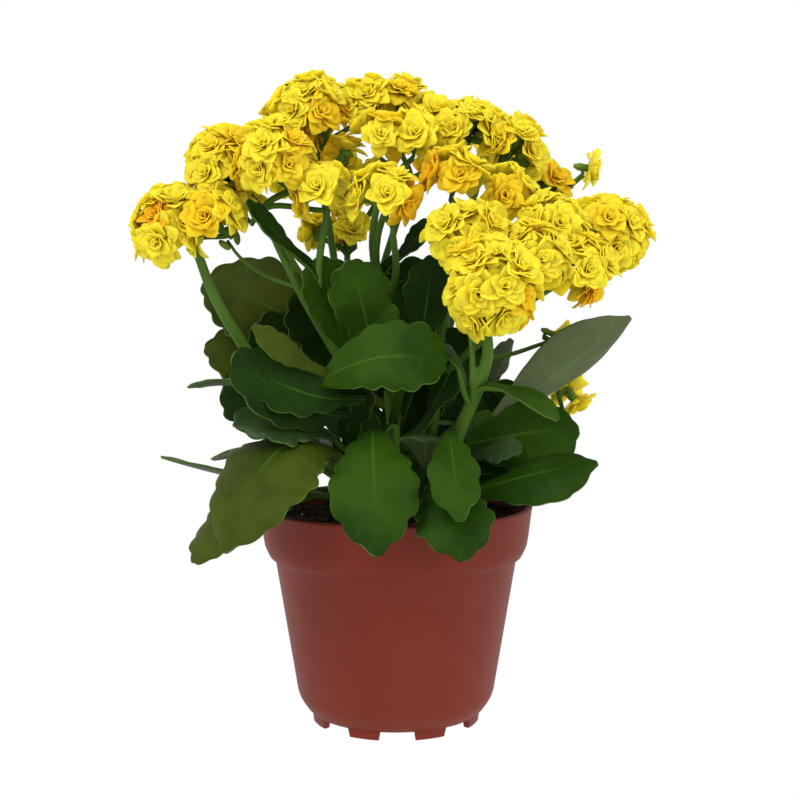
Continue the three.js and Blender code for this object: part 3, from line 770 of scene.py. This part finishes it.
# ---- flower heads: domes of florets on the stem that carries them
headMake = {"spacing": 0.066, "spread": 1.8, "sink": 0.8, "size": 1.04, "rise": 0.25, "stray": 1.6,
            "tilt": 0.24, "hub": (0, 0, 150), "cupDepth": 5.5, "forkShare": 0.75, "forkGap": 3, "sway": 1.2,
            "stalkEnd": 1.2, "thinStalk": (0.8, 0.65), "sizes": (0.9, 1.08), "orangeFrom": 0.94,
            "orangeTint": (0.8, 1.0), "tintBend": 2.5}
heads = {
    "flowers_far_left": {"stem": "stem_far_left", "root": (-84, -31, 208),
                         "domes": ((-92, -29, 216, 12), (-75, -37, 218, 9))},
    "flowers_left": {"stem": "stem_left", "root": (-55, -28, 222),
                     "domes": ((-70, -21, 240, 13), (-49, -33, 241, 13), (-31, -33, 230, 8)),
                     "small": ((-66, -19, 223, 7),)},
    "flowers_top_left": {"stem": "stem_left", "root": (-34, 0, 248), "domes": ((-37, -3, 264, 12),),
                         "small": ((-21, 8, 267, 6), (-31, -5, 257, 4), (-22, -5, 248, 3))},
    "flowers_top": {"stem": "stem_centre", "root": (-2, 13, 250),
                    "domes": ((-12, 12, 269, 8), (1, 21, 269, 9), (16, 16, 262, 8))},
    "flowers_middle": {"stem": "stem_centre", "root": (1, -12, 238),
                       "domes": ((-7, -17, 252, 7), (8, -14, 253, 7))},
    "flowers_middle_low": {"stem": "stem_centre", "root": (-1, -35, 215), "domes": ((-4, -41, 227, 9),)},
    "flowers_behind_left": {"stem": "stem_back_left", "root": (-22, 25, 204),
                            "domes": ((-20, 24, 214, 5), (-22, 29, 229, 5)),
                            "small": ((-35, 25, 216, 3), (-29, 37, 245, 7), (-8, 33, 237, 5))},
    "flowers_top_right": {"stem": "stem_back_right", "root": (36, 3, 236),
                          "domes": ((30, 0, 256, 11), (49, 6, 249, 11)), "small": ((18, -5, 249, 6),)},
    "flowers_right_middle": {"stem": "stem_back_right", "root": (25, -29, 222),
                             "domes": ((25, -34, 235, 8),), "small": ((44, -25, 229, 7),)},
    "flowers_right_front": {"stem": "stem_right", "root": (35, -52, 180),
                            "domes": ((29, -50, 208, 12), (37, -64, 192, 15)),
                            "small": ((55, -53, 204, 9),)},
    "flowers_right": {"stem": "stem_back_right", "root": (62, -30, 192),
                      "domes": ((62, -35, 215, 11), (72, -43, 198, 11))},
    "flowers_far_right": {"stem": "stem_back_right", "root": (80, -8, 200),
                          "domes": ((90, -12, 213, 13),)},
    "flowers_back_right": {"stem": "stem_back_right", "root": (62, 34, 220),
                           "domes": ((67, 37, 232, 9), (87, 30, 243, 1))},
    "flowers_right_low": {"stem": "stem_back_right", "root": (76, 33, 129), "domes": ((80, 34, 141, 4),)},
    "flowers_right_small": {"stem": "stem_back_right", "root": (68, 15, 166),
                            "domes": ((70, 15, 169, 2),)},
    "flowers_back_left": {"stem": "stem_back_left", "root": (-62, 50, 226),
                          "domes": ((-73, 41, 241, 10), (-51, 59, 245, 10))},
    "flowers_back": {"stem": "stem_back_left", "root": (7, 65, 240),
                     "domes": ((2, 63, 263, 11), (21, 74, 253, 10))},
    "flowers_back_far_right": {"stem": "stem_back_right", "root": (47, 60, 233),
                               "domes": ((49, 61, 251, 10),)},
    "flowers_side_right": {"stem": "stem_back_right", "root": (80, 39, 202),
                           "domes": ((88, 45, 210, 10),)},
}


def floretWays(axis, radius):
    # directions spread evenly over a dome by the golden angle
    count = round(headMake["spacing"] * radius * radius) + 1
    turn = Vector((0, 0, 1)).rotation_difference(axis)
    ways = []
    for i in range(count):
        height = 1 - ((i + 0.5) / count) * (1 - math.cos(headMake["spread"]))
        reach = math.sqrt(1 - height * height)
        angle = i * goldenAngle
        ways.append(turn @ Vector((reach * math.cos(angle), reach * math.sin(angle), height)))
    return ways


greens = {name: [body] for name, body in stemBodies.items()}
pedicels = {name: [] for name in stems}

# a thin twig of green buds on the left stem
budPlan = {"stem": "stem_left", "radius": 1.0, "end": 0.7, "size": (1.5, 1.5, 3.2),
           "twig": ((-41, -21, 190), (-56, -20, 196), (-65, -24, 203), (-70, -26, 210)),
           "places": ((-69, -28, 213), (-72, -28, 214), (-67, -27, 215), (-71, -27, 208), (-66, -26, 211),
                      (-69, -27, 218))}
pedicels[budPlan["stem"]].append((budPlan["radius"], budPlan["end"], budPlan["twig"]))
for place in budPlan["places"]:
    bpy.ops.mesh.primitive_ico_sphere_add(subdivisions=2, radius=1)
    bud = dressed(bpy.context.object, calyxGreen)
    lean = Vector((0, 0, 1)).rotation_difference(Vector(place) - Vector(budPlan["twig"][2]))
    size = Matrix.Diagonal([side * mm for side in budPlan["size"]] + [1])
    bud.data.transform(Matrix.Translation(Vector(place) * mm) @ lean.to_matrix().to_4x4() @ size)
    greens[budPlan["stem"]].append(bud)


def flowerHead(name, plan):
    p = headMake
    draw = random.Random(name)
    root = Vector(plan["root"])
    stalk = min(stems[plan["stem"]], key=lambda tube: (Vector(tube[-1]) - root).length)
    florets = []
    for *centre, radius in (*plan["domes"], *plan.get("small", ())):
        centre = Vector(centre)
        axis = (centre - Vector(p["hub"])).normalized()
        fork = centre - axis * (p["forkShare"] * radius + p["forkGap"])
        pedicels[plan["stem"]].append((stalk[0] * stalkTaper, p["stalkEnd"], (stalk[-1], root, fork)))
        for way in floretWays(axis, radius):
            tilt = Vector([either(draw, p["tilt"]) for _ in range(3)])
            facing = (way + tilt + Vector((0, 0, p["rise"]))).normalized()
            reach = radius - p["sink"] + draw.uniform(-1, 0.6) * p["stray"]
            seat = centre + way * reach
            turned = Vector((0, 0, 1)).rotation_difference(facing).to_matrix().to_4x4()
            spin = Matrix.Rotation(draw.uniform(0, 2 * math.pi), 4, "Z")
            size = Matrix.Scale(p["size"] * draw.uniform(*p["sizes"]), 4)
            matrix = Matrix.Translation(seat * mm) @ turned @ spin @ size
            floret = copied(draw.choice(floretModels), matrix)
            shade = draw.random()
            if shade > p["orangeFrom"]:
                tint = draw.uniform(*p["orangeTint"])
            else:
                tint = p["orangeTint"][0] * shade ** p["tintBend"]
            floret.data.attributes["tint"].data.foreach_set("value", [tint] * len(floret.data.vertices))
            florets.append(floret)
            greens[plan["stem"]].append(copied(calyx, matrix))
            foot = seat - facing * p["cupDepth"]
            middle = fork.lerp(foot, 0.55) + axis * p["sway"]
            pedicels[plan["stem"]].append((*p["thinStalk"], (fork, middle, foot)))
    return joined(florets, name)


for name, plan in heads.items():
    head = flowerHead(name, plan)
    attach(head, "root")
    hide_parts(name)
print("flower heads made")

for name, parts in greens.items():
    if pedicels[name]:
        thin = dressed(stalks(pedicels[name], 1), stemGreen)
        only(thin)
        bpy.ops.object.shade_smooth()
        parts.append(thin)
    stem = joined(parts, name)
    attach(stem, "root")
    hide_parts(name)
for model in [*floretModels, calyx]:
    bpy.data.objects.remove(model)
print("stems and flower stalks joined")

# ---- pot: a turned shell with a collar, a rounded lower edge and a notched foot ring
potPlan = {"rim": 60, "height": 95.5, "collar": 23.5, "bodyTop": 53, "bodyBottom": 43.5, "foot": 37,
           "footHeight": 3.8, "wall": 1.6, "rimWall": 2.6, "notches": 8, "notchTurn": 1, "notchWidth": 14.6,
           "notchReach": 14, "notchFlare": (1.14, 0.98), "drainCircle": 30, "drainRadius": 4,
           "drainDepth": 20, "boss": 20, "sides": 160}


def potFinish():
    finish = Finish("pot_plastic", Specular_IOR_Level=0.2)
    place = finish.place()
    cloud = finish.noise(place, 18, 4)
    grain = finish.noise(place, 900, 3, 0.6)
    scuff = finish.noise(place, 130, 5, 0.7, (1, 1, 0.25))
    base = finish.blend(finish.rise(cloud, 0.3, 0.7), (0.15, 0.0165, 0.006), (0.175, 0.021, 0.008))
    base = finish.blend(finish.rise(scuff, 0.62, 0.8) * 0.15, base, (0.24, 0.06, 0.035))
    speck = finish.rise(finish.noise(place, 420, 1), 0.74, 0.78)
    base = finish.blend(speck * 0.5, base, (0.06, 0.02, 0.012))
    rough = 0.5 + grain * 0.12 + finish.rise(scuff, 0.55, 0.8) * 0.1
    return finish.surface(base, rough, grain, 0.12 * mm, 0.35)


def potShell():
    p = potPlan
    foot = p["height"] - p["collar"]
    profile = [  # from the boss under the floor, out and up the outside, then down the inside
        (p["boss"], 0), (p["boss"] + 1, p["footHeight"]), (p["foot"] - 3, p["footHeight"]),
        (p["foot"] - 2.6, 0), (p["foot"], 0), (p["foot"] + 0.4, p["footHeight"]),
        (p["foot"] + 2.4, p["footHeight"] + 1.8), (p["bodyBottom"] - 2.2, p["footHeight"] + 4.5),
        (p["bodyBottom"] - 0.8, p["footHeight"] + 7), (p["bodyBottom"], p["footHeight"] + 9.6),
        (p["bodyTop"], foot - 0.4),
        (p["bodyTop"] + 0.5, foot + 0.1), (p["bodyTop"] + 2.4, foot + 1.3), (p["rim"] - 3.6, foot + 3.2),
        (p["rim"] - 2.4, foot + 6), (p["rim"] - 1.8, foot + 9.5), (p["rim"] - 0.25, p["height"] - 1.6),
        (p["rim"], p["height"] - 0.8), (p["rim"] - 0.3, p["height"] - 0.2), (p["rim"] - 0.9, p["height"]),
        (p["rim"] - p["rimWall"] + 0.5, p["height"]), (p["rim"] - p["rimWall"], p["height"] - 0.5),
        (p["rim"] - 3.6, foot + 8), (p["bodyTop"] - p["wall"], foot),
        (p["bodyBottom"] - p["wall"], p["footHeight"] + 10),
        (p["bodyBottom"] - p["wall"] - 6.5, p["footHeight"] + p["wall"]),
    ]
    bpy.ops.mesh.primitive_circle_add(vertices=p["sides"], radius=profile[0][0] * mm, fill_type="NGON")
    shell = bpy.context.object
    only(shell)
    turned(profile)
    return shell


def potCutters():
    p = potPlan
    cutters = []
    for i in range(p["notches"]):
        angle = 2 * math.pi * i / p["notches"] - math.pi / 2 + math.radians(p["notchTurn"])
        turn = Matrix.Rotation(angle, 4, "Z")
        bpy.ops.mesh.primitive_cube_add(size=1)
        notch = bpy.context.object
        for vertex in notch.data.vertices:
            share = p["notchFlare"][vertex.co.z > 0]  # wider at the bottom
            size = Vector((p["notchReach"], p["notchWidth"] * share, 2 * p["footHeight"])) * mm
            vertex.co *= size
        notch.data.transform(turn @ Matrix.Translation((p["foot"] * mm, 0, 0)))
        bpy.ops.mesh.primitive_cylinder_add(vertices=24, radius=p["drainRadius"] * mm,
                                            depth=p["drainDepth"] * mm)
        drain = bpy.context.object
        drain.data.transform(turn @ Matrix.Translation((p["drainCircle"] * mm, 0, 0)))
        cutters += [notch, drain]
    return joined(cutters, "pot_cutters")


pot = potShell()
cutter = potCutters()
applied(pot, "BOOLEAN", operation="DIFFERENCE", object=cutter, solver="EXACT", use_self=True)
bpy.data.objects.remove(cutter)
applied(pot, "BEVEL", width=0.35 * mm, segments=2, limit_method="ANGLE", angle_limit=math.radians(42))
smooth(dressed(named(pot, "pot"), potFinish()), 40)
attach(pot, "root")
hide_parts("pot")
print("pot made")

# ---- soil: a root ball with a crumbly top, and crumbs and pale grains on it
soilPlan = {"level": 88.5, "crown": 1.5, "radius": 56.3, "rings": 26, "ringStep": 2.1, "rough": (-1.1, 0.5),
            "rimDrop": 1, "rimGap": 0.6, "sides": ((55, 78), (50, 70), (44, 44)), "strewn": 0.97,
            "crumbs": (520, 0.8, 2.6), "grains": (46, 0.8, 1.6)}


def soilFinish(name, dark, light, scale):
    finish = Finish(name, Specular_IOR_Level=0.2)
    place = finish.place()
    lumps = finish.noise(place, scale, 6, 0.7)
    base = finish.blend(finish.rise(lumps, 0.35, 0.7), dark, light)
    return finish.surface(base, 0.85 + lumps * 0.1, lumps, 1.2 * mm, 0.8)


peat = soilFinish("potting_soil", (0.008, 0.005, 0.003), (0.05, 0.03, 0.018), 260)
pumice = soilFinish("pale_grain", (0.35, 0.32, 0.26), (0.62, 0.6, 0.54), 700)


def soilBall():
    p = soilPlan
    level, radius = p["level"] - p["rimDrop"], p["radius"] - p["rimGap"]
    bpy.ops.mesh.primitive_circle_add(vertices=96, radius=radius * mm, fill_type="NGON",
                                      location=(0, 0, level * mm))
    ball = bpy.context.object
    only(ball)
    bpy.ops.object.transform_apply(location=True, rotation=True, scale=True)
    bpy.ops.object.mode_set(mode="EDIT")
    bpy.ops.mesh.select_all(action="SELECT")
    for _ in range(p["rings"]):
        bpy.ops.mesh.inset(thickness=p["ringStep"] * mm)
    bpy.ops.mesh.poke()
    bpy.ops.object.mode_set(mode="OBJECT")
    rough = random.Random(5)
    for vertex in ball.data.vertices:
        away = math.hypot(vertex.co.x, vertex.co.y) / mm
        if away < p["radius"] - 2:
            hump = p["crown"] * (1 - (away / p["radius"]) ** 2)
            vertex.co.z = (p["level"] + hump + rough.uniform(*p["rough"])) * mm
    turned([(radius, level), *p["sides"]])
    return dressed(ball, peat)


def scattered(count, smallest, largest, seed, material):
    draw = random.Random(seed)
    bpy.ops.mesh.primitive_ico_sphere_add(subdivisions=1, radius=1)
    model = dressed(bpy.context.object, material)
    bits = []
    for _ in range(count):
        away = soilPlan["radius"] * soilPlan["strewn"] * math.sqrt(draw.random())
        angle = draw.uniform(0, 2 * math.pi)
        level = soilPlan["level"] + soilPlan["crown"] * (1 - (away / soilPlan["radius"]) ** 2)
        size = draw.uniform(smallest, largest)
        place = Vector((away * math.cos(angle), away * math.sin(angle), level + 0.1 * size)) * mm
        stretch = Matrix.Diagonal((size * mm, size * draw.uniform(0.5, 0.9) * mm, size * 0.6 * mm, 1))
        spin = Matrix.Rotation(draw.uniform(0, 6), 4, "Z") @ Matrix.Rotation(either(draw, 0.6), 4, "X")
        bits.append(copied(model, Matrix.Translation(place) @ spin @ stretch))
    bpy.data.objects.remove(model)
    return bits


soil = joined([soilBall(), *scattered(*soilPlan["crumbs"], 11, peat)], "soil")
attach(soil, "root")
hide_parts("soil")
grains = joined(scattered(*soilPlan["grains"], 12, pumice), "soil_grains")
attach(grains, "root")
print("pot and soil made")

# ---- floor, sky and lamps
stagePlan = {"floor": 40, "sky": 1.0, "aim": (0, 0, 0.17),
             "lamps": {"key": {"place": (-0.7, -1.0, 1.3), "size": 0.7, "power": 11},
                       "fill": {"place": (1.1, -0.9, 0.7), "size": 0.9, "power": 4}}}
floorFinish = Finish("floor_white", Base_Color=(0, 0, 0, 1), Specular_IOR_Level=0, Emission_Strength=1)
bpy.ops.mesh.primitive_plane_add(size=stagePlan["floor"])
floor = dressed(named(bpy.context.object, "floor"), floorFinish.material)
sky = bpy.data.worlds.new("sky")
bpy.context.scene.world = sky
sky.use_nodes = True
sky.node_tree.nodes["Background"].inputs["Color"].default_value = (1, 1, 1, 1)
sky.node_tree.nodes["Background"].inputs["Strength"].default_value = stagePlan["sky"]


def lamp(name, place, size, power):
    data = bpy.data.lights.new(name, "AREA")
    data.shape = "DISK"
    data.size = size
    data.energy = power
    made = bpy.data.objects.new(name, data)
    bpy.context.scene.collection.objects.link(made)
    made.location = place
    way = Vector(stagePlan["aim"]) - Vector(place)
    made.rotation_euler = way.to_track_quat("-Z", "Y").to_euler()


for name, plan in stagePlan["lamps"].items():
    lamp(name, **plan)
bpy.context.scene.view_settings.view_transform = "Standard"
print("stage set")
